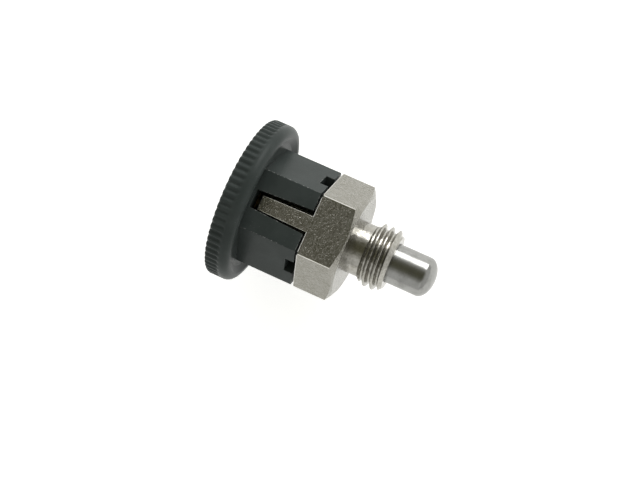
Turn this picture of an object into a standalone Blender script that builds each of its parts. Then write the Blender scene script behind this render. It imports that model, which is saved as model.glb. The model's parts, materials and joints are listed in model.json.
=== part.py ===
"""Mini indexing plunger with a rest position, modelled as its separate pieces.

The axis of the plunger is world X: the pin points to +X and the knob is at -X. The origin is on the
axis, in the plane of the hexagon's front face, which seats on the panel. The two tongues of the guide
body are at +Z and -Z. Lengths below are in millimetres and become metres through MM.
"""

import math

import bmesh
import bpy
from mathutils import Matrix, Vector

MM = 0.001
TURN = 2.0 * math.pi

# Guide body: hexagon, neck, thread, rear tube and tongues.
HEX_AF = 13.0
HEX_LENGTH = 4.9
HEX_FRONT_CHAMFER = 0.65
HEX_FRONT_CIRCLE = 6.2
HEX_REAR_CHAMFER = 0.2
NECK_RADIUS = 3.3
NECK_END = 1.8
THREAD_RADIUS = 4.0
THREAD_PITCH = 1.0
THREAD_DEPTH = 0.6
THREAD_END = 5.15
THREAD_CHAMFER = 0.65
THREAD_STEPS = 48
THREAD_ROWS_PER_PITCH = 8
TUBE_RADIUS = 4.0
TUBE_END = -11.4
TUBE_WALL_END = 1.2
BORE_RADIUS = 2.55
SHANK_HOLE_RADIUS = 1.55
TONGUE_ROOT_WIDTH = 2.1
TONGUE_TIP_WIDTH = 1.84
TONGUE_EDGE = 0.12

# Pin: guided front, round nose and rear shank.
PIN_RADIUS = 2.5
PIN_TIP = 10.65
NOSE_START = 9.15
SHOULDER = 1.5
SHANK_RADIUS = 1.5
SHANK_END = -12.36
TAPPED_RADIUS = 0.85
TAPPED_DEPTH = 3.6

# Spring between the guide's rear wall and the pin's shoulder.
SPRING_WIRE = 0.45
SPRING_OUTER = 4.8
SPRING_ACTIVE_TURNS = 7
SPRING_CLEARANCE = 0.05
SPRING_POINTS_PER_TURN = 14

# Knob: disc rim, dished front face and hexagonal hub.
KNOB_RADIUS = 10.2
KNOB_BACK = -15.2
KNOB_FRONT = -12.1
BACK_ROUNDING = 0.35
FRONT_ROUNDING = 0.9
DISH_RADIUS = 9.0
DISH_FLOOR_RADIUS = 8.2
DISH_DEPTH = 0.45
KNURL_COUNT = 70
KNURL_DEPTH = 0.2
KNURL_FRONT = -13.3
HUB_AF = 12.9
HUB_FRONT = -5.15
HUB_EDGE = 0.2
HUB_BORE_RADIUS = 4.2
HUB_BORE_END = -12.76
SLOT_REAR_WIDTH = 2.3
SLOT_FRONT_WIDTH = 3.1
SLOT_END = -12.35
NOTCH_WIDTH = 2.5
NOTCH_DEPTH = 1.1
KNOB_PLAY_ANGLE = math.radians(1.3)
RECESS_RADIUS = 4.05
WEB_BACK = -13.4

# Fastening of the knob to the shank, under the back cap.
BUSH_RADIUS = 2.5
BUSH_FLANGE_RADIUS = 3.2
BUSH_FRONT = -12.4
BUSH_FLANGE_END = -12.7
BUSH_BACK = -13.42
WEB_HOLE_RADIUS = 2.54
SCREW_HOLE_RADIUS = 0.95
WASHER_RADIUS = 3.2
WASHER_FRONT = -13.46
WASHER_BACK = -13.86
SCREW_HEAD_RADIUS = 1.9
SCREW_HEAD_FRONT = -13.9
SCREW_HEAD_BACK = -14.7
SCREW_RADIUS = 0.8
SCREW_TIP = -9.4
SCREW_SLOT_WIDTH = 0.45
SCREW_SLOT_DEPTH = 0.35
CAP_RADIUS = 4.0
CAP_BACK = -15.2
CAP_FACE = 0.36
CAP_SKIRT_FRONT = -13.95
CAP_SKIRT_WALL = 0.45
CAP_EDGE = 0.12

ROUND_STEPS = 64
SMALL_STEPS = 48
OVERLAP = 0.5


def clear_scene():
    for obj in list(bpy.data.objects):
        bpy.data.objects.remove(obj, do_unlink=True)


def material(name, colour, roughness, metallic):
    made = bpy.data.materials.new(name)
    made.use_nodes = True
    shader = made.node_tree.nodes["Principled BSDF"]
    shader.inputs["Base Color"].default_value = (*colour, 1.0)
    shader.inputs["Roughness"].default_value = roughness
    shader.inputs["Metallic"].default_value = metallic
    return made


def object_from(name, mesh):
    """A new object in the scene, in metres, from a bmesh in millimetres, which is used up."""
    bmesh.ops.scale(mesh, vec=(MM, MM, MM), verts=mesh.verts)
    bmesh.ops.recalc_face_normals(mesh, faces=mesh.faces)
    data = bpy.data.meshes.new(name)
    mesh.to_mesh(data)
    mesh.free()
    obj = bpy.data.objects.new(name, data)
    bpy.context.scene.collection.objects.link(obj)
    return obj


def turned(name, profile, steps=ROUND_STEPS):
    """A closed body turned about X from (x, radius) points; the outline closes along the axis or on itself."""
    mesh = bmesh.new()
    points = [mesh.verts.new((x, 0.0, radius)) for x, radius in profile]
    lines = [mesh.edges.new(pair) for pair in zip(points, points[1:])]
    if min(radius for _, radius in profile) > 0.0:
        lines.append(mesh.edges.new((points[-1], points[0])))
    bmesh.ops.spin(
        mesh, geom=points + lines, cent=(0, 0, 0), axis=(1, 0, 0), angle=TURN, steps=steps
    )
    bmesh.ops.remove_doubles(mesh, verts=mesh.verts, dist=1e-4)
    bmesh.ops.dissolve_degenerate(mesh, dist=1e-5, edges=mesh.edges)
    return object_from(name, mesh)


def prism(name, outline, low_x, high_x):
    """A closed body from a (y, z) outline, extruded along X."""
    mesh = bmesh.new()
    face = mesh.faces.new([mesh.verts.new((low_x, y, z)) for y, z in outline])
    grown = bmesh.ops.extrude_face_region(mesh, geom=[face])
    moved = [item for item in grown["geom"] if isinstance(item, bmesh.types.BMVert)]
    bmesh.ops.translate(mesh, vec=(high_x - low_x, 0, 0), verts=moved)
    return object_from(name, mesh)


def hexagon(across_flats):
    """The (y, z) corners of a hexagon with flats at +Z and -Z."""
    corner = across_flats / math.sqrt(3.0)
    return [(corner * math.cos(k * TURN / 6), corner * math.sin(k * TURN / 6)) for k in range(6)]


def arc(centre, radius, start, end, count):
    """Points of an arc in the (x, radius) plane, angles in degrees from +x."""
    angles = [math.radians(start + (end - start) * k / count) for k in range(count + 1)]
    return [(centre[0] + radius * math.cos(a), centre[1] + radius * math.sin(a)) for a in angles]


def combine(target, other, operation):
    """Applies one exact Boolean to target and removes the other object."""
    modifier = target.modifiers.new("cut", "BOOLEAN")
    modifier.operation = operation
    modifier.solver = "EXACT"
    modifier.object = other
    graph = bpy.context.evaluated_depsgraph_get()
    result = bpy.data.meshes.new_from_object(target.evaluated_get(graph))
    target.modifiers.remove(modifier)
    old = target.data
    target.data = result
    bpy.data.meshes.remove(old)
    bpy.data.objects.remove(other, do_unlink=True)


def dress(obj, made, crease=30.0):
    obj.data.materials.clear()
    obj.data.materials.append(made)
    obj.data.shade_smooth()
    obj.data.set_sharp_from_angle(angle=math.radians(crease))


def turn_about_axis(obj, angle):
    obj.data.transform(Matrix.Rotation(angle, 4, "X"))


def thread_radius(x, angle):
    """Radius of the front shank at x: neck, run-out cone, cut thread and end chamfer."""
    blank = min(THREAD_RADIUS, NECK_RADIUS + max(0.0, x - NECK_END))
    blank = min(blank, THREAD_RADIUS - THREAD_CHAMFER + (THREAD_END - x))
    phase = (x / THREAD_PITCH - angle / TURN) % 1.0
    flank = abs(phase - 0.5) * 2.0
    groove = THREAD_DEPTH * min(1.0, max(0.0, (flank - 0.15) / 0.7))
    return min(blank, THREAD_RADIUS - groove)


def threaded_shank():
    """Neck and helical thread as one closed body, its rear end buried in the hexagon."""
    step = THREAD_PITCH / THREAD_ROWS_PER_PITCH
    count = round((THREAD_END - NECK_END) / step)
    stations = [-OVERLAP, NECK_END - step]
    stations += [NECK_END + (THREAD_END - NECK_END) * k / count for k in range(count + 1)]
    mesh = bmesh.new()
    rings = []
    for x in stations:
        ring = []
        for k in range(THREAD_STEPS):
            angle = TURN * k / THREAD_STEPS
            radius = thread_radius(x, angle)
            ring.append(mesh.verts.new((x, radius * math.cos(angle), radius * math.sin(angle))))
        rings.append(ring)
    for rear, front in zip(rings, rings[1:]):
        for k in range(THREAD_STEPS):
            after = (k + 1) % THREAD_STEPS
            mesh.faces.new((rear[k], rear[after], front[after], front[k]))
    mesh.faces.new(rings[0])
    mesh.faces.new(rings[-1])
    return object_from("threaded_shank", mesh)


def tongue():
    """One tapered tongue at +Z, rooted in the hexagon and the tube."""
    root = TONGUE_ROOT_WIDTH / 2
    tip = TONGUE_TIP_WIDTH / 2
    low = TUBE_RADIUS - OVERLAP
    high = HEX_AF / 2
    mesh = bmesh.new()
    rings = []
    for x, half in ((TUBE_END, tip), (-HEX_LENGTH + OVERLAP, root)):
        section = (
            (-half, low),
            (half, low),
            (half, high - TONGUE_EDGE),
            (half - TONGUE_EDGE, high),
            (-half + TONGUE_EDGE, high),
            (-half, high - TONGUE_EDGE),
        )
        rings.append([mesh.verts.new((x, y, z)) for y, z in section])
    bmesh.ops.contextual_create(mesh, geom=rings[0])
    bmesh.ops.contextual_create(mesh, geom=rings[1])
    count = len(rings[0])
    for k in range(count):
        after = (k + 1) % count
        mesh.faces.new((rings[0][k], rings[0][after], rings[1][after], rings[1][k]))
    return object_from("tongue", mesh)


def guide_body(steel):
    corner = HEX_AF / math.sqrt(3.0)
    body = prism("guide_body", hexagon(HEX_AF), -HEX_LENGTH, 0.0)
    chamfers = turned(
        "chamfers",
        [
            (-HEX_LENGTH - OVERLAP, 0.0),
            (-HEX_LENGTH - OVERLAP, corner - HEX_REAR_CHAMFER - OVERLAP),
            (-HEX_LENGTH + HEX_REAR_CHAMFER, corner),
            (-HEX_FRONT_CHAMFER, corner),
            (0.0, HEX_FRONT_CIRCLE),
            (OVERLAP, HEX_FRONT_CIRCLE),
            (OVERLAP, 0.0),
        ],
    )
    combine(body, chamfers, "INTERSECT")
    combine(body, threaded_shank(), "UNION")
    tube = turned(
        "tube",
        [
            (TUBE_END, 0.0),
            (TUBE_END, TUBE_RADIUS),
            (-HEX_LENGTH + OVERLAP, TUBE_RADIUS),
            (-HEX_LENGTH + OVERLAP, 0.0),
        ],
        SMALL_STEPS,
    )
    combine(body, tube, "UNION")
    for side in (0.0, math.pi):
        rib = tongue()
        turn_about_axis(rib, side)
        combine(body, rib, "UNION")
    wall = TUBE_END + TUBE_WALL_END
    bore = turned(
        "bore",
        [
            (TUBE_END - OVERLAP, 0.0),
            (TUBE_END - OVERLAP, SHANK_HOLE_RADIUS),
            (wall, SHANK_HOLE_RADIUS),
            (wall, BORE_RADIUS),
            (THREAD_END + OVERLAP, BORE_RADIUS),
            (THREAD_END + OVERLAP, 0.0),
        ],
        SMALL_STEPS,
    )
    combine(body, bore, "DIFFERENCE")
    dress(body, steel)
    return body


def plunger_pin(steel):
    nose = PIN_TIP - NOSE_START
    profile = [
        (SHANK_END + TAPPED_DEPTH, 0.0),
        (SHANK_END + TAPPED_DEPTH - TAPPED_RADIUS * 0.6, TAPPED_RADIUS),
        (SHANK_END, TAPPED_RADIUS),
        (SHANK_END, SHANK_RADIUS - 0.15),
        (SHANK_END + 0.15, SHANK_RADIUS),
        (SHOULDER, SHANK_RADIUS),
        (SHOULDER, PIN_RADIUS - 0.15),
        (SHOULDER + 0.15, PIN_RADIUS),
    ]
    for k in range(9):
        angle = math.radians(10.0 * k)
        profile.append((NOSE_START + nose * math.sin(angle), PIN_RADIUS * math.cos(angle)))
    profile.append((PIN_TIP, 0.0))
    pin = turned("plunger_pin", profile, SMALL_STEPS)
    dress(pin, steel)
    return pin


def plunger_spring(steel):
    """Helix with a closed turn at each end, standing on the guide's rear wall."""
    start = TUBE_END + TUBE_WALL_END + SPRING_CLEARANCE + SPRING_WIRE / 2
    end = SHOULDER - SPRING_CLEARANCE - SPRING_WIRE / 2
    closed = SPRING_WIRE * 1.1
    turns = SPRING_ACTIVE_TURNS + 2
    open_pitch = (end - start - 2 * closed) / SPRING_ACTIVE_TURNS
    radius = (SPRING_OUTER - SPRING_WIRE) / 2
    curve = bpy.data.curves.new("plunger_spring", "CURVE")
    curve.dimensions = "3D"
    curve.bevel_depth = SPRING_WIRE / 2 * MM
    curve.bevel_resolution = 2
    curve.use_fill_caps = True
    count = turns * SPRING_POINTS_PER_TURN
    spline = curve.splines.new("POLY")
    spline.points.add(count)
    for k in range(count + 1):
        turn = k / SPRING_POINTS_PER_TURN
        middle = min(max(turn - 1.0, 0.0), SPRING_ACTIVE_TURNS)
        ends = min(turn, 1.0) + max(turn - 1.0 - SPRING_ACTIVE_TURNS, 0.0)
        x = start + ends * closed + middle * open_pitch
        angle = TURN * turn
        point = Vector((x, radius * math.cos(angle), radius * math.sin(angle))) * MM
        spline.points[k].co = (*point, 1.0)
    spring = bpy.data.objects.new("plunger_spring", curve)
    bpy.context.scene.collection.objects.link(spring)
    curve.materials.append(steel)
    return spring


def knurl_cutter():
    """V-shaped bars round the rim, as one mesh of separate closed bars."""
    half = TURN / KNURL_COUNT / 2
    outside = KNOB_RADIUS + OVERLAP
    reach = half * 0.86
    mesh = bmesh.new()
    for k in range(KNURL_COUNT):
        middle = TURN * k / KNURL_COUNT
        corners = (
            (KNOB_RADIUS - KNURL_DEPTH, middle),
            (KNOB_RADIUS, middle + reach),
            (outside, middle + reach),
            (outside, middle - reach),
            (KNOB_RADIUS, middle - reach),
        )
        rings = []
        for x in (KNOB_BACK - OVERLAP, KNURL_FRONT):
            rings.append([mesh.verts.new((x, r * math.cos(a), r * math.sin(a))) for r, a in corners])
        mesh.faces.new(rings[0])
        mesh.faces.new(rings[1])
        for n in range(len(corners)):
            after = (n + 1) % len(corners)
            mesh.faces.new((rings[0][n], rings[0][after], rings[1][after], rings[1][n]))
    return object_from("knurl_cutter", mesh)


def radial_cutter(name, widths, low_x, high_x, angle):
    """A bar along X through one wall of the hub, with its rear and front widths, turned to its place."""
    reach = HUB_AF / 2 + OVERLAP
    rear, front = widths
    outline = [(-rear / 2, 0.0), (rear / 2, 0.0), (rear / 2, reach), (-rear / 2, reach)]
    cutter = prism(name, outline, low_x, high_x)
    middle = (low_x + high_x) / 2 * MM
    for vertex in cutter.data.vertices:
        if vertex.co.x > middle:
            vertex.co.y *= front / rear
    turn_about_axis(cutter, angle)
    return cutter


def knob(plastic):
    rim = (
        arc((KNOB_BACK + BACK_ROUNDING, KNOB_RADIUS - BACK_ROUNDING), BACK_ROUNDING, 180, 90, 2)
        + arc((KNOB_FRONT - FRONT_ROUNDING, KNOB_RADIUS - FRONT_ROUNDING), FRONT_ROUNDING, 90, 0, 5)
    )
    profile = [(KNOB_BACK, 0.0)] + rim
    profile += [
        (KNOB_FRONT, DISH_RADIUS),
        (KNOB_FRONT - DISH_DEPTH, DISH_FLOOR_RADIUS),
        (KNOB_FRONT - DISH_DEPTH, 0.0),
    ]
    body = turned("knob", profile, KNURL_COUNT)
    combine(body, knurl_cutter(), "DIFFERENCE")
    hub = prism("hub", hexagon(HUB_AF), KNOB_FRONT - DISH_DEPTH - OVERLAP, HUB_FRONT)
    ends = turned(
        "hub_ends",
        [
            (KNOB_BACK, 0.0),
            (KNOB_BACK, HUB_AF),
            (HUB_FRONT - HUB_EDGE * 2, HUB_AF / math.sqrt(3.0)),
            (HUB_FRONT, HUB_AF / math.sqrt(3.0) - HUB_EDGE * 2),
            (HUB_FRONT + OVERLAP, 0.0),
        ],
    )
    combine(hub, ends, "INTERSECT")
    combine(body, hub, "UNION")
    bores = turned(
        "bores",
        [
            (KNOB_BACK - OVERLAP, 0.0),
            (KNOB_BACK - OVERLAP, RECESS_RADIUS),
            (WEB_BACK, RECESS_RADIUS),
            (WEB_BACK, WEB_HOLE_RADIUS),
            (HUB_BORE_END, WEB_HOLE_RADIUS),
            (HUB_BORE_END, HUB_BORE_RADIUS),
            (HUB_FRONT + OVERLAP, HUB_BORE_RADIUS),
            (HUB_FRONT + OVERLAP, 0.0),
        ],
        SMALL_STEPS,
    )
    combine(body, bores, "DIFFERENCE")
    front = HUB_FRONT + OVERLAP
    for face in range(6):
        angle = face * TURN / 6
        if face % 3 == 0:
            cutter = radial_cutter("slot", (SLOT_REAR_WIDTH, SLOT_FRONT_WIDTH), SLOT_END, front, angle)
        else:
            widths = (NOTCH_WIDTH, NOTCH_WIDTH)
            cutter = radial_cutter("notch", widths, HUB_FRONT - NOTCH_DEPTH, front, angle)
        combine(body, cutter, "DIFFERENCE")
    turn_about_axis(body, -KNOB_PLAY_ANGLE)
    dress(body, plastic)
    return body


def knob_bush(brass):
    bush = turned(
        "knob_bush",
        [
            (BUSH_FRONT, SCREW_HOLE_RADIUS),
            (BUSH_FRONT, BUSH_FLANGE_RADIUS),
            (BUSH_FLANGE_END, BUSH_FLANGE_RADIUS),
            (BUSH_FLANGE_END, BUSH_RADIUS),
            (BUSH_BACK, BUSH_RADIUS),
            (BUSH_BACK, SCREW_HOLE_RADIUS),
        ],
        SMALL_STEPS,
    )
    dress(bush, brass)
    return bush


def retaining_washer(steel):
    washer = turned(
        "retaining_washer",
        [
            (WASHER_FRONT, SCREW_HOLE_RADIUS),
            (WASHER_FRONT, WASHER_RADIUS),
            (WASHER_BACK, WASHER_RADIUS),
            (WASHER_BACK, SCREW_HOLE_RADIUS),
        ],
        SMALL_STEPS,
    )
    dress(washer, steel)
    return washer


def retaining_screw(steel):
    edge = SCREW_HEAD_RADIUS * 0.2
    screw = turned(
        "retaining_screw",
        [
            (SCREW_TIP, 0.0),
            (SCREW_TIP, SCREW_RADIUS - 0.2),
            (SCREW_TIP - 0.2, SCREW_RADIUS),
            (SCREW_HEAD_FRONT, SCREW_RADIUS),
            (SCREW_HEAD_FRONT, SCREW_HEAD_RADIUS),
            (SCREW_HEAD_BACK + edge, SCREW_HEAD_RADIUS),
            (SCREW_HEAD_BACK, SCREW_HEAD_RADIUS - edge),
            (SCREW_HEAD_BACK, 0.0),
        ],
        SMALL_STEPS // 2,
    )
    half = SCREW_SLOT_WIDTH / 2
    reach = SCREW_HEAD_RADIUS + OVERLAP
    slot = prism(
        "driver_slot",
        [(-reach, -half), (reach, -half), (reach, half), (-reach, half)],
        SCREW_HEAD_BACK - OVERLAP,
        SCREW_HEAD_BACK + SCREW_SLOT_DEPTH,
    )
    combine(screw, slot, "DIFFERENCE")
    dress(screw, steel)
    return screw


def knob_cap(plastic):
    inner = CAP_RADIUS - CAP_SKIRT_WALL
    cap = turned(
        "knob_cap",
        [
            (CAP_BACK, 0.0),
            (CAP_BACK, CAP_RADIUS - CAP_EDGE),
            (CAP_BACK + CAP_EDGE, CAP_RADIUS),
            (CAP_SKIRT_FRONT, CAP_RADIUS),
            (CAP_SKIRT_FRONT, inner),
            (CAP_BACK + CAP_FACE, inner),
            (CAP_BACK + CAP_FACE, 0.0),
        ],
        SMALL_STEPS,
    )
    dress(cap, plastic)
    return cap


def main():
    clear_scene()
    nickel = material("nickel_plate", (0.62, 0.60, 0.55), 0.32, 1.0)
    polished = material("polished_steel", (0.72, 0.71, 0.69), 0.16, 1.0)
    spring_steel = material("spring_steel", (0.45, 0.45, 0.46), 0.3, 1.0)
    brass = material("brass", (0.74, 0.58, 0.30), 0.35, 1.0)
    zinc = material("zinc_steel", (0.58, 0.60, 0.62), 0.35, 1.0)
    plastic = material("black_plastic", (0.035, 0.037, 0.038), 0.5, 0.0)
    guide_body(nickel)
    plunger_pin(polished)
    plunger_spring(spring_steel)
    knob(plastic)
    knob_bush(brass)
    retaining_washer(zinc)
    retaining_screw(zinc)
    knob_cap(plastic)


main()
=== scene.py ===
"""Looks of the mini indexing plunger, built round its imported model.

The plunger's axis is world X with the pin towards +X. Every size is in metres. Each sub-assembly is a
class that models its pieces with Blender's operators and dresses them in a procedural finish.
"""

import json
import logging
import math
from collections.abc import Callable, Sequence
from dataclasses import dataclass
from enum import Enum

import bpy
from mathutils import Matrix, Vector


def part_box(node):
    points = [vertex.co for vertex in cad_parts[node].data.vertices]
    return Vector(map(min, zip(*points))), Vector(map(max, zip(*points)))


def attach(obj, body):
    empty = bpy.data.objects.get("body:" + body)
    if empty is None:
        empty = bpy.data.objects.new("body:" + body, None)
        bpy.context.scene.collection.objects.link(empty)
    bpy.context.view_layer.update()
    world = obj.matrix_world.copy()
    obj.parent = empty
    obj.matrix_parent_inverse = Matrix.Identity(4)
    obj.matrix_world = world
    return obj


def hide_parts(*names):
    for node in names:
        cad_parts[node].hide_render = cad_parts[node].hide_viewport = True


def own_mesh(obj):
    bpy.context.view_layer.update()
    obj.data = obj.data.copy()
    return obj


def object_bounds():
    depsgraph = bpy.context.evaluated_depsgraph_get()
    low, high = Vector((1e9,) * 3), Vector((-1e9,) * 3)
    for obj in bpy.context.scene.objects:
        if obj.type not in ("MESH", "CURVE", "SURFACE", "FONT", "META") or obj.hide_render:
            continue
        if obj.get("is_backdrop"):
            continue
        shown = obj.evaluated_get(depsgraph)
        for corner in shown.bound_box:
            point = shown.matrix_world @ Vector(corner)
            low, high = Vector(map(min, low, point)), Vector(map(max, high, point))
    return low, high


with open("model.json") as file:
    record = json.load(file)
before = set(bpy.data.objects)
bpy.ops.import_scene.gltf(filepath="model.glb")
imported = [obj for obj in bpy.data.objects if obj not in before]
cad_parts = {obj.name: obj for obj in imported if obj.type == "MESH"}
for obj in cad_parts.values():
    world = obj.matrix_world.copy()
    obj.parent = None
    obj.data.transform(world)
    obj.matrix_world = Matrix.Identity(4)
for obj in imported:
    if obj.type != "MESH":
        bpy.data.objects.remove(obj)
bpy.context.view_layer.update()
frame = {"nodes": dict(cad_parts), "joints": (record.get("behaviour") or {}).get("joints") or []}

LOG = logging.getLogger("plunger")
MM = 0.001
TURN = 2.0 * math.pi
ON_AXIS = 1e-7
SAME_POINT = 1e-6
END_ALONG = 0.8
FLAT_ALONG = 0.02
FLAT_LEAN = 3.0
LONGEST_EDGE = 8.0 * MM
Outline = list[tuple[float, float]]
Colour = tuple[float, float, float]


class Cut(Enum):
    """How one body changes another."""

    JOIN = "UNION"
    REMOVE = "DIFFERENCE"
    KEEP_INSIDE = "INTERSECT"


class Tongue(Enum):
    """The two tongues, by their turn about the axis."""

    UPPER = 0.0
    LOWER = math.pi


# ---------------------------------------------------------------- modelling


def corner(x: float, radius: float, rounding: float = 0.0) -> tuple[float, float, float]:
    """One corner of a turned outline, with the radius of its rounding."""
    return (x, radius, rounding)


def rounded(corners: Sequence[tuple[float, float, float]], closed: bool, segments: int = 5) -> Outline:
    """Rounds the corners of an outline with arcs.

    Args:
        corners: x, radius and rounding of each corner, in order.
        closed: whether the outline returns to its first corner.
        segments: straight pieces in each arc.

    Returns:
        The points of the outline, with the first one repeated at the end when it is closed.
    """
    points: Outline = []
    count = len(corners)
    for index, (x, radius, rounding) in enumerate(corners):
        at_end = not closed and index in (0, count - 1)
        if rounding <= 0.0 or at_end:
            points.append((x, radius))
            continue
        here = Vector((x, radius))
        before = (Vector(corners[index - 1][:2]) - here).normalized()
        after = (Vector(corners[(index + 1) % count][:2]) - here).normalized()
        half = before.angle(after) / 2.0
        reach = rounding / math.tan(half)
        centre = here + (before + after).normalized() * rounding / math.sin(half)
        start = here + before * reach - centre
        end = here + after * reach - centre
        sweep = start.angle_signed(end)
        for step in range(segments + 1):
            spoke = Matrix.Rotation(-sweep * step / segments, 2) @ start
            points.append(tuple(centre + spoke))
    if closed:
        points.append(points[0])
    return points


def deselect() -> None:
    """Leaves nothing selected, so that an operator acts on the next piece alone."""
    bpy.ops.object.select_all(action="DESELECT")


def focus(piece: bpy.types.Object) -> None:
    """Makes a piece the only selected object and the active one."""
    deselect()
    piece.select_set(True)
    bpy.context.view_layer.objects.active = piece


def settle(piece: bpy.types.Object, name: str) -> bpy.types.Object:
    """Names a new piece and puts its place into its mesh.

    Args:
        piece: the object that was just modelled.
        name: its name from now on.

    Returns:
        The same object, at the origin.
    """
    piece.name = name
    piece.data.name = name
    focus(piece)
    bpy.ops.object.transform_apply(location=True, rotation=True, scale=True)
    return piece


def turned(name: str, outline: Outline, steps: int) -> bpy.types.Object:
    """Spins an outline of x and radius about the axis into a closed body.

    Args:
        name: the new object's name.
        outline: points from one end to the other, or back to the first point.
        steps: flats round the turn.

    Returns:
        The turned object.
    """
    deselect()
    start = outline[0]
    bpy.ops.mesh.primitive_plane_add(size=MM, location=(start[0], 0.0, start[1]))
    piece = bpy.context.object
    bpy.ops.object.mode_set(mode="EDIT")
    bpy.ops.mesh.select_all(action="SELECT")
    bpy.ops.mesh.merge(type="CENTER")
    for here, there in zip(outline, outline[1:]):
        step = (there[0] - here[0], 0.0, there[1] - here[1])
        bpy.ops.mesh.extrude_vertices_move(TRANSFORM_OT_translate={"value": step})
    bpy.ops.mesh.select_all(action="SELECT")
    bpy.ops.mesh.remove_doubles(threshold=ON_AXIS)
    bpy.ops.mesh.select_all(action="SELECT")
    bpy.ops.mesh.spin(steps=steps, angle=TURN, center=(0.0, 0.0, 0.0), axis=(1.0, 0.0, 0.0))
    bpy.ops.mesh.select_all(action="SELECT")
    bpy.ops.mesh.remove_doubles(threshold=SAME_POINT)
    bpy.ops.mesh.select_all(action="SELECT")
    bpy.ops.mesh.normals_make_consistent(inside=False)
    bpy.ops.object.mode_set(mode="OBJECT")
    return settle(piece, name)


def hexagonal(name: str, across_flats: float, low: float, high: float) -> bpy.types.Object:
    """Extrudes a hexagon with flats up and down along the axis.

    Args:
        name: the new object's name.
        across_flats: distance between opposite flats.
        low: x of its rear face.
        high: x of its front face.

    Returns:
        The hexagonal bar.
    """
    deselect()
    bpy.ops.mesh.primitive_circle_add(
        vertices=6,
        radius=across_flats / math.sqrt(3.0),
        fill_type="NGON",
        location=(low, 0.0, 0.0),
        rotation=(0.0, math.pi / 2.0, 0.0),
    )
    piece = bpy.context.object
    bpy.ops.object.mode_set(mode="EDIT")
    bpy.ops.mesh.select_all(action="SELECT")
    bpy.ops.mesh.extrude_region_move(TRANSFORM_OT_translate={"value": (high - low, 0.0, 0.0)})
    bpy.ops.mesh.select_all(action="SELECT")
    bpy.ops.mesh.normals_make_consistent(inside=False)
    bpy.ops.object.mode_set(mode="OBJECT")
    return settle(piece, name)


def bar(name: str, low: Vector, high: Vector) -> bpy.types.Object:
    """Adds a square-edged bar between two opposite corners, as a blank or a cutter.

    Args:
        name: the new object's name.
        low: its lowest corner.
        high: its highest corner.

    Returns:
        The bar.
    """
    deselect()
    bpy.ops.mesh.primitive_cube_add(size=1.0, location=(low + high) / 2.0, scale=high - low)
    return settle(bpy.context.object, name)


def turn_about_axis(piece: bpy.types.Object, angle: float) -> None:
    """Turns a piece about the plunger's axis by the right-hand rule about +X."""
    focus(piece)
    bpy.ops.object.mode_set(mode="EDIT")
    bpy.ops.mesh.select_all(action="SELECT")
    bpy.ops.transform.rotate(value=-angle, orient_axis="X", center_override=(0.0, 0.0, 0.0))
    bpy.ops.object.mode_set(mode="OBJECT")


def combine(piece: bpy.types.Object, tool: bpy.types.Object, how: Cut) -> None:
    """Applies one exact Boolean to a piece and removes the tool.

    Args:
        piece: the body that changes.
        tool: the body that is joined, removed or kept inside.
        how: which of the three it is.
    """
    focus(piece)
    modifier = piece.modifiers.new("combine", "BOOLEAN")
    modifier.operation = how.value
    modifier.solver = "EXACT"
    modifier.object = tool
    bpy.ops.object.modifier_apply(modifier=modifier.name)
    bpy.data.objects.remove(tool, do_unlink=True)


def soften(piece: bpy.types.Object, width: float, segments: int = 2, angle: float = 28.0) -> None:
    """Bevels every edge sharper than an angle.

    Args:
        piece: the body to soften.
        width: width of the bevel.
        segments: faces across it.
        angle: the least angle between two faces, in degrees, that counts as an edge.
    """
    focus(piece)
    modifier = piece.modifiers.new("soften", "BEVEL")
    modifier.width = width
    modifier.segments = segments
    modifier.limit_method = "ANGLE"
    modifier.angle_limit = math.radians(angle)
    modifier.use_clamp_overlap = True
    bpy.ops.object.modifier_apply(modifier=modifier.name)


def shade(piece: bpy.types.Object, angle: float = 32.0) -> None:
    """Shades a piece smooth up to an angle, and keeps its flats flat."""
    focus(piece)
    bpy.ops.object.shade_smooth_by_angle(angle=math.radians(angle))
    modifier = piece.modifiers.new("flats", "WEIGHTED_NORMAL")
    modifier.keep_sharp = True
    modifier.weight = 80
    bpy.ops.object.modifier_apply(modifier=modifier.name)


def reshape(piece: bpy.types.Object, radius_at: Callable[[float, float, float], float]) -> None:
    """Moves each point of a turned piece to a new radius.

    Args:
        piece: the turned body.
        radius_at: the new radius for an x, an angle from +Y towards +Z, and the old radius.
    """
    for vertex in piece.data.vertices:
        x, y, z = vertex.co
        old = math.hypot(y, z)
        if old < ON_AXIS:
            continue
        new = radius_at(x, math.atan2(z, y), old)
        vertex.co = (x, y * new / old, z * new / old)
    piece.data.update()


# ---------------------------------------------------------------- shading


class Wire:
    """An output socket whose arithmetic adds Math nodes."""

    def __init__(self, sheet: "Sheet", socket: bpy.types.NodeSocket) -> None:
        """Keeps the sheet that the socket is on."""
        self.sheet = sheet
        self.socket = socket

    def __add__(self, other: "Wire | float") -> "Wire":
        """Adds a value or another socket."""
        return self.sheet.math("ADD", self, other)

    def __mul__(self, other: "Wire | float") -> "Wire":
        """Multiplies by a value or another socket."""
        return self.sheet.math("MULTIPLY", self, other)

    __radd__ = __add__

    def clamped(self) -> "Wire":
        """Holds the value between 0 and 1."""
        return self.sheet.node("ShaderNodeClamp", {}, {"Value": self})

    def between(self, low: float, high: float) -> "Wire":
        """Rises from 0 at one value to 1 at another, and stays there.

        Args:
            low: the value that gives 0.
            high: the value that gives 1.

        Returns:
            The smooth step.
        """
        inputs = {"Value": self, "From Min": low, "From Max": high}
        return self.sheet.node("ShaderNodeMapRange", {"interpolation_type": "SMOOTHSTEP"}, inputs)


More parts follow.
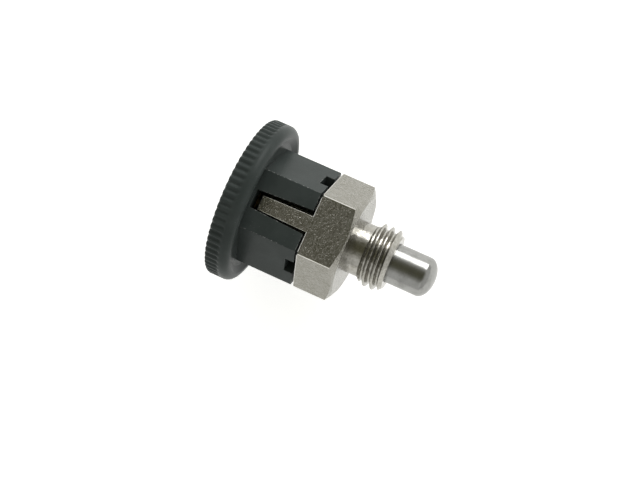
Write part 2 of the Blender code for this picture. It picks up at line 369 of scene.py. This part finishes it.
class Sheet:
    """The node tree of one material, with its Principled shader."""

    def __init__(self, name: str) -> None:
        """Starts a material that holds one Principled shader."""
        self.material = bpy.data.materials.new(name)
        self.material.use_nodes = True
        self.tree = self.material.node_tree
        self.shader = self.tree.nodes["Principled BSDF"]
        self.place = self.node("ShaderNodeTexCoord", {}, {}, "Object")

    def node(self, kind: str, settings: dict, inputs: dict, output: str | int = 0) -> Wire:
        """Adds a node, sets it up and feeds its sockets.

        Args:
            kind: Blender's node type.
            settings: its properties.
            inputs: values or wires by socket name or index.
            output: name or index of the socket that is returned.

        Returns:
            The chosen output.
        """
        node = self.tree.nodes.new(kind)
        for key, value in settings.items():
            setattr(node, key, value)
        for key, value in inputs.items():
            self.feed(node.inputs[key], value)
        return Wire(self, node.outputs[output])

    def feed(self, socket: bpy.types.NodeSocket, value: "Wire | float | Sequence[float]") -> None:
        """Links a wire to a socket, or sets the socket's own value."""
        if isinstance(value, Wire):
            self.tree.links.new(value.socket, socket)
        else:
            socket.default_value = value

    def math(self, operation: str, first: "Wire | float", second: "Wire | float") -> Wire:
        """Adds a Math node on two values."""
        return self.node("ShaderNodeMath", {"operation": operation}, {0: first, 1: second})

    def stretched(self, scale: Sequence[float]) -> Wire:
        """Object coordinates with each axis scaled."""
        return self.node("ShaderNodeMapping", {}, {"Vector": self.place, "Scale": tuple(scale)})

    def noise(self, size: float, detail: float = 2.0, rough: float = 0.5, place: Wire | None = None) -> Wire:
        """Noise whose features measure about one size.

        Args:
            size: the features' size in metres.
            detail: octaves of finer noise.
            rough: strength of the finer noise.
            place: other coordinates than the object's own.

        Returns:
            The noise value.
        """
        inputs = {"Vector": place or self.place, "Scale": 1.0 / size, "Detail": detail, "Roughness": rough}
        return self.node("ShaderNodeTexNoise", {}, inputs)

    def mixed(self, factor: "Wire | float", first: "Wire | Colour", second: "Wire | Colour") -> Wire:
        """Mixes two colours.

        Args:
            factor: 0 for the first, 1 for the second.
            first: a colour or a wire.
            second: a colour or a wire.

        Returns:
            The mixed colour.
        """
        inputs = {0: factor, 6: self._colour(first), 7: self._colour(second)}
        return self.node("ShaderNodeMix", {"data_type": "RGBA"}, inputs, 2)

    def _colour(self, value: "Wire | Colour") -> "Wire | tuple[float, ...]":
        """Adds the alpha that a colour socket needs."""
        return value if isinstance(value, Wire) else (*value, 1.0)

    def bumped(self, height: Wire, distance: float) -> Wire:
        """A normal raised by a height map.

        Args:
            height: values about 0 to 1.
            distance: the height in metres that 1 stands for.

        Returns:
            The normal.
        """
        return self.node("ShaderNodeBump", {}, {"Height": height, "Distance": distance, "Strength": 1.0})

    def finish(self, **sockets: "Wire | float | Sequence[float]") -> bpy.types.Material:
        """Feeds the shader's sockets, named with underscores for spaces.

        Args:
            **sockets: a value or a wire for each socket.

        Returns:
            The finished material.
        """
        for name, value in sockets.items():
            title = " ".join(word.capitalize() for word in name.split("_"))
            self.feed(self.shader.inputs[title.replace("Ior", "IOR")], value)
        return self.material


@dataclass(frozen=True)
class NickelPlate:
    """Satin nickel over drawn bar, with a crystalline grain that sparkles."""

    name: str = "nickel_plate"
    light: Colour = (0.29, 0.283, 0.255)
    dark: Colour = (0.22, 0.213, 0.182)
    grain: float = 0.34 * MM
    grit: float = 0.09 * MM
    cloud: float = 1.3 * MM
    relief: float = 0.105 * MM
    roughness: float = 0.11

    def make(self) -> bpy.types.Material:
        """Builds the material."""
        sheet = Sheet(self.name)
        cloud = sheet.noise(self.cloud, 3.0)
        grain = sheet.noise(self.grain, 3.0, 0.6)
        grit = sheet.noise(self.grit, 2.0)
        tint = (cloud * 0.4 + grain * 0.7).between(0.36, 0.74)
        base = sheet.mixed(tint, self.dark, self.light)
        rough = grit * 0.08 + cloud * 0.08 + self.roughness
        normal = sheet.bumped(grain + grit * 0.3, self.relief)
        return sheet.finish(base_color=base, metallic=1.0, roughness=rough, normal=normal)


@dataclass(frozen=True)
class TurnedNickel:
    """Bright nickel on turned surfaces, with tool marks round the axis and shallow dimples."""

    light: Colour = (0.40, 0.39, 0.36)
    dark: Colour = (0.28, 0.27, 0.24)
    ring: float = 0.05 * MM
    dimple: float = 0.42 * MM
    cloud: float = 0.7 * MM
    relief: float = 0.022 * MM

    def make(self) -> bpy.types.Material:
        """Builds the material."""
        sheet = Sheet("turned_nickel")
        rings = sheet.noise(self.ring, 2.0, 0.5, sheet.stretched((1.0, 0.02, 0.02)))
        dimple = sheet.noise(self.dimple, 1.0, 0.4)
        cloud = sheet.noise(self.cloud, 3.0)
        base = sheet.mixed((cloud * 0.6 + dimple * 0.4).between(0.3, 0.7), self.dark, self.light)
        rough = 0.16 + cloud * 0.10 + rings * 0.05
        normal = sheet.bumped(dimple + rings * 0.04, self.relief)
        return sheet.finish(base_color=base, metallic=1.0, roughness=rough, normal=normal)


@dataclass(frozen=True)
class PolishedSteel:
    """Polished pin: mirror-like, with faint lines along it where it has slid in its guide."""

    light: Colour = (0.30, 0.30, 0.29)
    dark: Colour = (0.235, 0.235, 0.225)
    line: float = 0.30 * MM
    ring: float = 0.03 * MM
    smear: float = 1.1 * MM
    relief: float = 0.006 * MM

    def make(self) -> bpy.types.Material:
        """Builds the material."""
        sheet = Sheet("polished_steel")
        lines = sheet.noise(self.line, 2.0, 0.6, sheet.stretched((0.03, 1.0, 1.0)))
        rings = sheet.noise(self.ring, 2.0, 0.5, sheet.stretched((1.0, 0.015, 0.015)))
        smear = sheet.noise(self.smear, 3.0, 0.6)
        base = sheet.mixed(smear.between(0.35, 0.7), self.light, self.dark)
        rough = 0.17 + smear * 0.12 + rings * 0.05
        normal = sheet.bumped(lines + rings * 0.05, self.relief)
        return sheet.finish(base_color=base, metallic=1.0, roughness=rough, normal=normal)


@dataclass(frozen=True)
class MouldedPlastic:
    """Satin black moulding with a fine texture, a few pale specks, and pale marks on rubbed parts that are
    partly scuffing and partly painted highlight.
    """

    name: str = "moulded_plastic"
    base: Colour = (0.031, 0.0375, 0.0355)
    pale: Colour = (0.038, 0.0450, 0.0430)
    scuff_and_highlight: Colour = (0.22, 0.225, 0.22)
    cloud: float = 2.4 * MM
    texture: float = 0.12 * MM
    speck: float = 0.16 * MM
    scratch: float = 0.32 * MM
    relief: float = 0.007 * MM
    wear_and_highlight: float = 0.0

    def make(self) -> bpy.types.Material:
        """Builds the material."""
        sheet = Sheet(self.name)
        cloud = sheet.noise(self.cloud, 3.0)
        texture = sheet.noise(self.texture, 2.0, 0.6)
        speck = sheet.noise(self.speck, 2.0).between(0.70, 0.77)
        # pale marks masked by noise: partly scuffing, partly painted highlight where a lamp would glint on
        # the edges
        worn_and_highlight = sheet.noise(self.scratch, 3.0, 0.7).between(0.50, 0.62) * self.wear_and_highlight
        base = sheet.mixed(cloud.between(0.3, 0.7), self.base, self.pale)
        base = sheet.mixed((worn_and_highlight + speck * 0.25).clamped(), base, self.scuff_and_highlight)
        rough = 0.27 + texture * 0.1 + cloud * 0.06
        normal = sheet.bumped(texture + worn_and_highlight * 0.6, self.relief)
        return sheet.finish(base_color=base, roughness=rough, normal=normal, specular_ior_level=0.08)


@dataclass(frozen=True)
class SmallSteel:
    """Plain metal of the pieces inside: drawn, turned or plated, by its colours."""

    name: str
    light: Colour
    dark: Colour
    roughness: float = 0.25
    ring: float = 0.06 * MM
    cloud: float = 0.8 * MM
    relief: float = 0.002 * MM

    def make(self) -> bpy.types.Material:
        """Builds the material."""
        sheet = Sheet(self.name)
        rings = sheet.noise(self.ring, 2.0, 0.5, sheet.stretched((1.0, 0.05, 0.05)))
        cloud = sheet.noise(self.cloud, 3.0)
        base = sheet.mixed(cloud.between(0.3, 0.7), self.light, self.dark)
        rough = rings * 0.12 + cloud * 0.1 + self.roughness
        normal = sheet.bumped(rings, self.relief)
        return sheet.finish(base_color=base, metallic=1.0, roughness=rough, normal=normal)


@dataclass(frozen=True)
class PaleFloor:
    """Matt white tabletop, lit faintly from below."""

    glow: float = 0.63
    cloud: float = 40.0 * MM

    def make(self) -> bpy.types.Material:
        """Builds the material."""
        sheet = Sheet("pale_floor")
        cloud = sheet.noise(self.cloud, 2.0)
        base = sheet.mixed(cloud, (0.80, 0.80, 0.80), (0.82, 0.82, 0.82))
        glow = (1.0, 1.0, 0.99, 1.0)
        return sheet.finish(base_color=base, roughness=0.8, emission_color=glow, emission_strength=self.glow)


def cover(piece: bpy.types.Object, material: bpy.types.Material) -> None:
    """Gives a piece one material in place of any that it has."""
    piece.data.materials.clear()
    piece.data.materials.append(material)


def is_edge(face: bpy.types.MeshPolygon, width: float) -> bool:
    """Tells whether a face is part of a softened edge of a hexagon.

    Args:
        face: a face of the finished piece.
        width: width of the piece's bevels.

    Returns:
        True for a narrow face that lies along none of the hexagon's flats, ends or chamfers.
    """
    along = abs(face.normal.x)
    lean = math.degrees(math.atan2(face.normal.y, face.normal.z)) % 60.0
    is_flat = along < FLAT_ALONG and min(lean, 60.0 - lean) < FLAT_LEAN
    return along <= END_ALONG and not is_flat and face.area < width * LONGEST_EDGE


def install(piece: bpy.types.Object, body: str, node: str) -> None:
    """Makes a finished piece stand for a node of the model, and reports it.

    Args:
        piece: the finished piece.
        body: the body that it moves with.
        node: the node that it replaces.
    """
    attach(piece, body)
    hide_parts(node)
    LOG.info("%s replaces %s on %s: %d faces", piece.name, node, body, len(piece.data.polygons))


# ---------------------------------------------------------------- sub-assemblies


@dataclass
class GuideBody:
    """Hexagonal guide with its thread, undercut neck, rear tube and two tongues."""

    hex_length: float = 4.9 * MM
    front_circle: float = 6.2 * MM
    front_chamfer: float = 0.65 * MM
    rear_chamfer: float = 0.2 * MM
    neck_radius: float = 3.3 * MM
    neck_end: float = 1.8 * MM
    neck_fillet: float = 0.25 * MM
    thread_radius: float = 4.0 * MM
    pitch: float = 1.0 * MM
    thread_depth: float = 0.6 * MM
    crest_share: float = 0.07
    flank_share: float = 0.34
    flank_rounding: float = 0.6
    end_chamfer: float = 0.65 * MM
    row: float = 0.035 * MM
    tube_radius: float = 4.0 * MM
    wall: float = 1.2 * MM
    bore_radius: float = 2.55 * MM
    shank_hole: float = 1.55 * MM
    tongue_root: float = 2.1 * MM
    tongue_tip: float = 1.84 * MM
    edge: float = 0.1 * MM
    overlap: float = 0.5 * MM
    hair: float = 0.004 * MM
    seat_margin: float = 0.01 * MM
    shading_angle: float = 24.0
    steps: int = 144

    def __post_init__(self) -> None:
        """Reads the overall sizes from the model's own node."""
        low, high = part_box("guide_body")
        self.tube_end = low.x
        self.thread_end = high.x
        self.across_flats = high.z - low.z

    def hexagon(self) -> bpy.types.Object:
        """Cuts the bar stock and chamfers its corners at both ends."""
        piece = hexagonal("guide_body_finished", self.across_flats, -self.hex_length, 0.0)
        soften(piece, self.edge)
        reach = self.across_flats / math.sqrt(3.0)
        slope = (reach - self.front_circle) / self.front_chamfer
        rear = -self.hex_length
        cone = turned(
            "chamfer_cone",
            [
                (rear - self.overlap, 0.0),
                (rear - self.overlap, reach - self.rear_chamfer - self.overlap),
                (rear + self.rear_chamfer, reach),
                (-self.front_chamfer, reach),
                (self.overlap, self.front_circle - self.overlap * slope),
                (self.overlap, 0.0),
            ],
            self.steps,
        )
        combine(piece, cone, Cut.KEEP_INSIDE)
        return piece

    def tongue(self, side: Tongue) -> bpy.types.Object:
        """Shapes one tapered tongue, from the tube out to the hexagon's flat."""
        half = self.tongue_root / 2.0
        front = -self.hex_length + self.overlap
        low = Vector((self.tube_end + self.hair, -half, self.tube_radius - self.overlap))
        piece = bar("tongue", low, Vector((front, half, self.across_flats / 2.0 - self.hair)))
        for vertex in piece.data.vertices:
            if vertex.co.x < low.x + self.overlap:
                vertex.co.y *= self.tongue_tip / self.tongue_root
        soften(piece, self.edge)
        turn_about_axis(piece, side.value)
        return piece

    def tube(self) -> bpy.types.Object:
        """Turns the rear tube that carries the tongues."""
        front = -self.hex_length + self.overlap
        outline = [(self.tube_end, 0.0), (self.tube_end, self.tube_radius)]
        outline += [(front, self.tube_radius), (front, 0.0)]
        return turned("tube", outline, self.steps)

    def radius_at(self, x: float, angle: float, old: float) -> float:
        """Radius of the threaded end: the blank, less the groove of a right-handed thread.

        Args:
            x: distance along the axis.
            angle: angle from +Y towards +Z.
            old: radius of the blank there.

        Returns:
            The cut radius.
        """
        phase = (x / self.pitch - angle / TURN) % 1.0
        slope = min(1.0, max(0.0, (abs(phase - 0.5) - self.crest_share) / self.flank_share))
        round_slope = 0.5 - 0.5 * math.cos(math.pi * slope)
        groove = slope + self.flank_rounding * (round_slope - slope)
        return min(old, self.thread_radius - self.thread_depth * groove)

    def shank(self) -> bpy.types.Object:
        """Turns the neck and the threaded end, and cuts the thread."""
        last = self.thread_end - self.end_chamfer
        rows = round((last - self.neck_end) / self.row)
        outline = [(-self.overlap, 0.0), (-self.overlap, self.neck_radius)]
        for index in range(rows + 1):
            x = self.neck_end + (last - self.neck_end) * index / rows
            outline.append((x, min(self.thread_radius, self.neck_radius + x - self.neck_end)))
        ends = round(self.end_chamfer / self.row)
        for index in range(1, ends + 1):
            x = last + self.end_chamfer * index / ends
            outline.append((x, self.thread_radius - (x - last)))
        outline.append((self.thread_end, 0.0))
        piece = turned("threaded_end", outline, self.steps)
        reshape(piece, lambda x, a, r: self.radius_at(x, a, r) if x > self.neck_end else r)
        return piece

    def bore(self) -> bpy.types.Object:
        """Turns the cutter for the pin's bore and the shank's hole."""
        wall = self.tube_end + self.wall
        outline = [
            (self.tube_end - self.overlap, 0.0),
            (self.tube_end - self.overlap, self.shank_hole),
            (wall, self.shank_hole),
            (wall, self.bore_radius),
            (self.thread_end + self.overlap, self.bore_radius),
            (self.thread_end + self.overlap, 0.0),
        ]
        return turned("bore", outline, self.steps)

    def build(self) -> bpy.types.Object:
        """Models the whole guide body as one closed piece."""
        piece = self.hexagon()
        combine(piece, self.tube(), Cut.JOIN)
        for side in Tongue:
            combine(piece, self.tongue(side), Cut.JOIN)
        combine(piece, self.shank(), Cut.JOIN)
        combine(piece, self.bore(), Cut.REMOVE)
        shade(piece, self.shading_angle)
        return piece

    def dress(self, piece: bpy.types.Object) -> None:
        """Plates it: grainy on the bar's flats, bright on the turned end, and pale on the softened edges,
        which is partly rubbing and partly painted highlight.
        """
        cover(piece, NickelPlate().make())
        piece.data.materials.append(TurnedNickel().make())
        # pale nickel on the bevel faces: partly rubbed edges, partly a painted highlight standing in for the
        # lamp's glints on the edges
        bright = NickelPlate("worn_edge_highlight_nickel", (0.80, 0.79, 0.76), (0.55, 0.54, 0.50), relief=0.03 * MM)
        piece.data.materials.append(bright.make())
        for face in piece.data.polygons:
            centre = face.center
            inside = math.hypot(centre.y, centre.z) < self.thread_radius + self.seat_margin
            if inside and centre.x > self.seat_margin:
                face.material_index = 1
            elif is_edge(face, self.edge):
                face.material_index = 2

    def make(self) -> None:
        """Builds, dresses and installs the guide body."""
        piece = self.build()
        self.dress(piece)
        install(piece, "housing", "guide_body")


@dataclass
class Pin:
    """Locking pin with a round nose and a slim rear shank."""

    radius: float = 2.5 * MM
    nose_start: float = 9.15 * MM
    shoulder: float = 1.5 * MM
    shank_radius: float = 1.5 * MM
    tapped_radius: float = 0.85 * MM
    tapped_depth: float = 3.6 * MM
    drill_point: float = 0.6
    break_edge: float = 0.12 * MM
    nose_points: int = 20
    steps: int = 128

    def build(self) -> bpy.types.Object:
        """Turns the pin."""
        low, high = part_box("plunger_pin")
        bottom = low.x + self.tapped_depth
        corners = [
            corner(bottom, 0.0),
            corner(bottom - self.tapped_radius * self.drill_point, self.tapped_radius),
            corner(low.x, self.tapped_radius, self.break_edge / 2.0),
            corner(low.x, self.shank_radius, self.break_edge),
            corner(self.shoulder, self.shank_radius, self.break_edge / 2.0),
            corner(self.shoulder, self.radius, self.break_edge),
            corner(self.nose_start, self.radius),
        ]
        outline = rounded(corners, closed=False)
        reach = high.x - self.nose_start
        for index in range(1, self.nose_points + 1):
            angle = math.pi / 2.0 * index / self.nose_points
            radius = self.radius * math.cos(angle) if index < self.nose_points else 0.0
            outline.append((self.nose_start + reach * math.sin(angle), radius))
        piece = turned("plunger_pin_finished", outline, self.steps)
        shade(piece)
        return piece

    def make(self) -> None:
        """Builds, dresses and installs the pin."""
        piece = self.build()
        cover(piece, PolishedSteel().make())
        install(piece, "plunger", "plunger_pin")


@dataclass
class Spring:
    """Compression spring with a closed turn at each end."""

    wire: float = 0.45 * MM
    outer: float = 4.8 * MM
    active_turns: int = 7
    end_pitch: float = 1.1
    points_per_turn: int = 36
    shading_angle: float = 50.0

    def route(self, low: float, high: float) -> list[Vector]:
        """Centre line of the wire between two seats.

        Args:
            low: x of the rear seat.
            high: x of the front seat.

        Returns:
            The points of the helix.
        """
        start = low + self.wire / 2.0
        end = high - self.wire / 2.0
        closed = self.wire * self.end_pitch
        pitch = (end - start - 2.0 * closed) / self.active_turns
        radius = (self.outer - self.wire) / 2.0
        points = []
        for index in range((self.active_turns + 2) * self.points_per_turn + 1):
            turn = index / self.points_per_turn
            middle = min(max(turn - 1.0, 0.0), self.active_turns)
            x = start + (turn - middle) * closed + middle * pitch
            points.append(Vector((x, radius * math.cos(TURN * turn), radius * math.sin(TURN * turn))))
        return points

    def build(self) -> bpy.types.Object:
        """Draws the wire along its route and turns it into a mesh."""
        low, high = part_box("plunger_spring")
        curve = bpy.data.curves.new("plunger_spring_finished", "CURVE")
        curve.dimensions = "3D"
        curve.bevel_depth = self.wire / 2.0
        curve.bevel_resolution = 3
        curve.use_fill_caps = True
        spline = curve.splines.new("POLY")
        points = self.route(low.x, high.x)
        spline.points.add(len(points) - 1)
        for target, point in zip(spline.points, points):
            target.co = (*point, 1.0)
        piece = bpy.data.objects.new("plunger_spring_finished", curve)
        bpy.context.scene.collection.objects.link(piece)
        focus(piece)
        bpy.ops.object.convert(target="MESH")
        piece = bpy.context.object
        shade(piece, self.shading_angle)
        return piece

    def make(self, travel: float) -> None:
        """Builds and installs the spring.

        Args:
            travel: how far the pin can be pulled.
        """
        piece = self.build()
        finish = SmallSteel("spring_wire", (0.50, 0.50, 0.51), (0.36, 0.36, 0.38), 0.2)
        cover(piece, finish.make())
        install(piece, "spring_seat", "plunger_spring")
        low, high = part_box("plunger_spring")
        keep = 1.0 - travel / (high.x - low.x)
        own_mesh(piece)


@dataclass
class Knob:
    """Moulded knob: ribbed rim, dished front face and a hexagonal hub with slots and park notches."""

    back_rounding: float = 0.45 * MM
    front_rounding: float = 0.95 * MM
    front: float = -12.1 * MM
    dish_radius: float = 9.0 * MM
    dish_floor: float = 8.2 * MM
    dish_depth: float = 0.45 * MM
    dish_rounding: float = 0.3 * MM
    recess_rounding: float = 0.1 * MM
    ribs: int = 70
    steps_per_rib: int = 10
    rim_rows: int = 8
    rib_depth: float = 0.2 * MM
    rib_front: float = -13.25 * MM
    rib_run_out: float = 0.35 * MM
    rib_sharpness: float = 1.4
    hub_flats: float = 12.9 * MM
    hub_edge: float = 0.13 * MM
    hub_root: float = 0.15 * MM
    hub_bore: float = 4.2 * MM
    bore_steps: int = 96
    well_radius: float = 3.9 * MM
    well_floor: float = -12.76 * MM
    web_hole: float = 2.54 * MM
    web_back: float = -13.4 * MM
    recess_radius: float = 4.05 * MM
    slot_rear: float = 2.3 * MM
    slot_front: float = 3.1 * MM
    slot_end: float = -12.35 * MM
    notch_width: float = 2.5 * MM
    notch_depth: float = 1.1 * MM
    play: float = math.radians(1.3)
    # strength of the pale edge marks on the hub: partly scuffing, partly painted highlight
    wear_and_highlight: float = 0.9
    overlap: float = 0.5 * MM
    shading_angle: float = 35.0

    def __post_init__(self) -> None:
        """Reads the overall sizes from the model's own node."""
        low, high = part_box("knob")
        self.back = low.x
        self.hub_front = high.x
        self.radius = (high.z - low.z) / 2.0

    def rib_at(self, x: float, angle: float, old: float) -> float:
        """Radius of the rim with its ribs.

        Args:
            x: distance along the axis.
            angle: angle from +Y towards +Z.
            old: radius of the plain rim there.

        Returns:
            The ribbed radius.
        """
        if old < self.radius - self.back_rounding * 1.05:
            return old
        fade = min(1.0, max(0.0, (self.rib_front - x) / self.rib_run_out))
        valley = (0.5 + 0.5 * math.cos(self.ribs * angle)) ** self.rib_sharpness
        return old - self.rib_depth * valley * fade * fade * (3.0 - 2.0 * fade)

    def disc(self) -> bpy.types.Object:
        """Turns the disc and moulds the ribs round its rim."""
        floor = self.front - self.dish_depth
        rim = self.rib_front + self.overlap / 4.0
        rows = self.rim_rows
        corners = [
            corner(self.back, self.recess_radius, self.recess_rounding),
            corner(self.back, self.radius, self.back_rounding),
        ]
        first = self.back + self.back_rounding + self.recess_rounding
        corners += [corner(first + (rim - first) * k / rows, self.radius) for k in range(rows + 1)]
        corners += [
            corner(self.front, self.radius, self.front_rounding),
            corner(self.front, self.dish_radius, self.dish_rounding),
            corner(floor, self.dish_floor, self.dish_rounding),
            corner(floor, self.well_radius),
            corner(self.well_floor, self.well_radius),
            corner(self.well_floor, self.web_hole),
            corner(self.web_back, self.web_hole),
            corner(self.web_back, self.recess_radius),
        ]
        piece = turned("knob_finished", rounded(corners, closed=True), self.ribs * self.steps_per_rib)
        reshape(piece, self.rib_at)
        return piece

    def hub(self) -> bpy.types.Object:
        """Cuts the hexagonal hub with its bore, two slots and four park notches."""
        floor = self.front - self.dish_depth
        piece = hexagonal("hub", self.hub_flats, floor - self.hub_root, self.hub_front)
        ahead = self.hub_front + self.overlap
        outline = [(self.back, 0.0), (self.back, self.hub_bore), (ahead, self.hub_bore), (ahead, 0.0)]
        combine(piece, turned("hub_bore", outline, self.bore_steps), Cut.REMOVE)
        for face in range(6):
            is_slot = face % 3 == 0
            half = (self.slot_rear if is_slot else self.notch_width) / 2.0
            rear = self.slot_end if is_slot else self.hub_front - self.notch_depth
            tool = bar("cutter", Vector((rear, -half, 0.0)), Vector((ahead, half, self.hub_flats)))
            for vertex in tool.data.vertices:
                if is_slot and vertex.co.x > self.hub_front:
                    vertex.co.y *= self.slot_front / self.slot_rear
            turn_about_axis(tool, face * TURN / 6.0)
            combine(piece, tool, Cut.REMOVE)
        soften(piece, self.hub_edge)
        return piece

    def build(self) -> bpy.types.Object:
        """Models the knob, turned to the side of its play where it rests."""
        piece = self.disc()
        combine(piece, self.hub(), Cut.JOIN)
        turn_about_axis(piece, -self.play)
        shade(piece, self.shading_angle)
        return piece

    def dress(self, piece: bpy.types.Object) -> None:
        """Covers it in satin plastic with pale marks along the hub's edges, partly scuffing and partly
        painted highlight.
        """
        cover(piece, MouldedPlastic().make())
        piece.data.materials.append(MouldedPlastic("scuffed_highlit_plastic", wear_and_highlight=self.wear_and_highlight).make())
        inner = self.hub_flats / 2.0 - self.hub_edge
        for face in piece.data.polygons:
            on_hub = face.center.x > self.front and face.center.yz.length > inner
            if on_hub and is_edge(face, self.hub_edge):
                face.material_index = 1

    def make(self) -> None:
        """Builds, dresses and installs the knob."""
        piece = self.build()
        self.dress(piece)
        install(piece, "plunger", "knob")


@dataclass
class Fastening:
    """Bush, washer and screw that hold the knob on the shank, and the cap over them."""

    cap_face: float = 0.36 * MM
    cap_wall: float = 0.45 * MM
    cap_edge: float = 0.12 * MM
    cap_dish: float = 0.05 * MM
    dish_share: float = 0.75
    steps: int = 96

    def cap(self) -> bpy.types.Object:
        """Turns the press-in cap with its skirt."""
        low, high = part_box("knob_cap")
        radius = high.z
        inner = radius - self.cap_wall
        floor = low.x + self.cap_face
        corners = [
            corner(low.x + self.cap_dish, 0.0),
            corner(low.x, radius * self.dish_share),
            corner(low.x, radius, self.cap_edge),
            corner(high.x, radius, self.cap_edge),
            corner(high.x, inner, self.cap_edge),
            corner(floor, inner, self.cap_edge),
            corner(floor, 0.0),
        ]
        piece = turned("knob_cap_finished", rounded(corners, closed=False), self.steps)
        shade(piece)
        return piece

    def make(self) -> None:
        """Builds the cap and dresses the metal pieces that the model already shapes."""
        cap = self.cap()
        plastic = MouldedPlastic("cap_plastic", (0.030, 0.031, 0.033), (0.048, 0.050, 0.051))
        cover(cap, plastic.make())
        install(cap, "plunger", "knob_cap")
        brass = SmallSteel("turned_brass", (0.78, 0.60, 0.30), (0.60, 0.44, 0.20), 0.28)
        zinc = SmallSteel("zinc_plate", (0.62, 0.64, 0.66), (0.46, 0.48, 0.50), 0.3)
        cover(frame["nodes"]["knob_bush"], brass.make())
        plated = zinc.make()
        for node in ("retaining_washer", "retaining_screw"):
            cover(frame["nodes"][node], plated)
            LOG.info("%s keeps its own shape", node)


# ---------------------------------------------------------------- studio


@dataclass(frozen=True)
class Softbox:
    """One square area light, aimed at the part."""

    name: str
    place: tuple[float, float, float]
    size: float
    power: float

    def hang(self, target: Vector) -> None:
        """Adds the light and aims it at a point."""
        data = bpy.data.lights.new(self.name, "AREA")
        data.shape = "SQUARE"
        data.size = self.size
        data.energy = self.power
        light = bpy.data.objects.new(self.name, data)
        light.location = self.place
        light.rotation_euler = (target - Vector(self.place)).to_track_quat("-Z", "Y").to_euler()
        bpy.context.scene.collection.objects.link(light)


@dataclass
class Studio:
    """Pale table, soft light all round and the camera that looks down on the part."""

    azimuth: float = math.radians(-5.98)
    elevation: float = math.radians(79.94)
    roll: float = math.radians(-59.79)
    distance: float = 178.34 * MM
    aim_offset: tuple[float, float, float] = (-1.81 * MM, -1.06 * MM, 0.30 * MM)
    lens: float = 82.92
    table: float = 3.0
    gap: float = 0.05 * MM
    ceiling: tuple[float, float, float, float] = (0.135, 0.13, 0.08, 1.0)
    walls: tuple[float, float, float, float] = (0.85, 0.85, 0.83, 1.0)
    ceiling_edge: float = 0.6

    def camera(self, centre: Vector) -> None:
        """Places the camera by its direction from the part, its roll and its distance."""
        aim = centre + Vector(self.aim_offset)
        towards = Vector(
            (
                math.cos(self.elevation) * math.cos(self.azimuth),
                math.cos(self.elevation) * math.sin(self.azimuth),
                math.sin(self.elevation),
            )
        )
        level = (-towards).cross(Vector((0.0, 0.0, 1.0))).normalized()
        right = Matrix.Rotation(self.roll, 3, towards) @ level
        up = towards.cross(right)
        data = bpy.data.cameras.new("camera")
        data.lens = self.lens
        data.clip_start = 1.0 * MM
        camera = bpy.data.objects.new("camera", data)
        rotation = Matrix((right, up, towards)).transposed().to_4x4()
        camera.matrix_world = Matrix.Translation(aim + towards * self.distance) @ rotation
        bpy.context.scene.collection.objects.link(camera)
        bpy.context.scene.camera = camera

    def floor(self, height: float) -> None:
        """Lays the pale table under the part."""
        deselect()
        bpy.ops.mesh.primitive_plane_add(size=self.table, location=(0.0, 0.0, height))
        table = settle(bpy.context.object, "table")
        cover(table, PaleFloor().make())
        table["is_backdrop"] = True

    def surroundings(self) -> None:
        """Lights the room: dim and warm straight above, pale all round."""
        world = bpy.data.worlds.new("studio")
        world.use_nodes = True
        bpy.context.scene.world = world
        tree = world.node_tree
        place = tree.nodes.new("ShaderNodeTexCoord")
        split = tree.nodes.new("ShaderNodeSeparateXYZ")
        tree.links.new(place.outputs["Generated"], split.inputs[0])
        above = tree.nodes.new("ShaderNodeMapRange")
        above.interpolation_type = "SMOOTHSTEP"
        above.inputs["From Min"].default_value = self.ceiling_edge
        tree.links.new(split.outputs["Z"], above.inputs["Value"])
        room = tree.nodes.new("ShaderNodeMix")
        room.data_type = "RGBA"
        room.inputs[6].default_value = self.walls
        room.inputs[7].default_value = self.ceiling
        tree.links.new(above.outputs[0], room.inputs[0])
        tree.links.new(room.outputs[2], tree.nodes["Background"].inputs["Color"])

    def make(self) -> None:
        """Sets up the camera, the table and the light."""
        low, high = (Vector(end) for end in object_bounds())
        centre = (low + high) / 2.0
        self.camera(centre)
        self.floor(low.z - self.gap)
        self.surroundings()
        Softbox("key_light", place=(0.05, 0.40, 0.22), size=0.25, power=1.35).hang(centre)
        Softbox("fill_light", place=(0.15, -0.40, 0.30), size=0.30, power=0.1).hang(centre)
        bpy.context.scene.view_settings.view_transform = "Standard"


def main() -> None:
    """Builds the studio and each sub-assembly in turn."""
    logging.basicConfig(level=logging.INFO, format="%(name)s: %(message)s")
    Studio().make()
    GuideBody().make()
    Pin().make()
    travel = next(j["range_m"][1] for j in frame["joints"] if j["name"] == "plunger_pull")
    Spring().make(travel)
    Knob().make()
    Fastening().make()


if __name__ == "__main__":
    main()
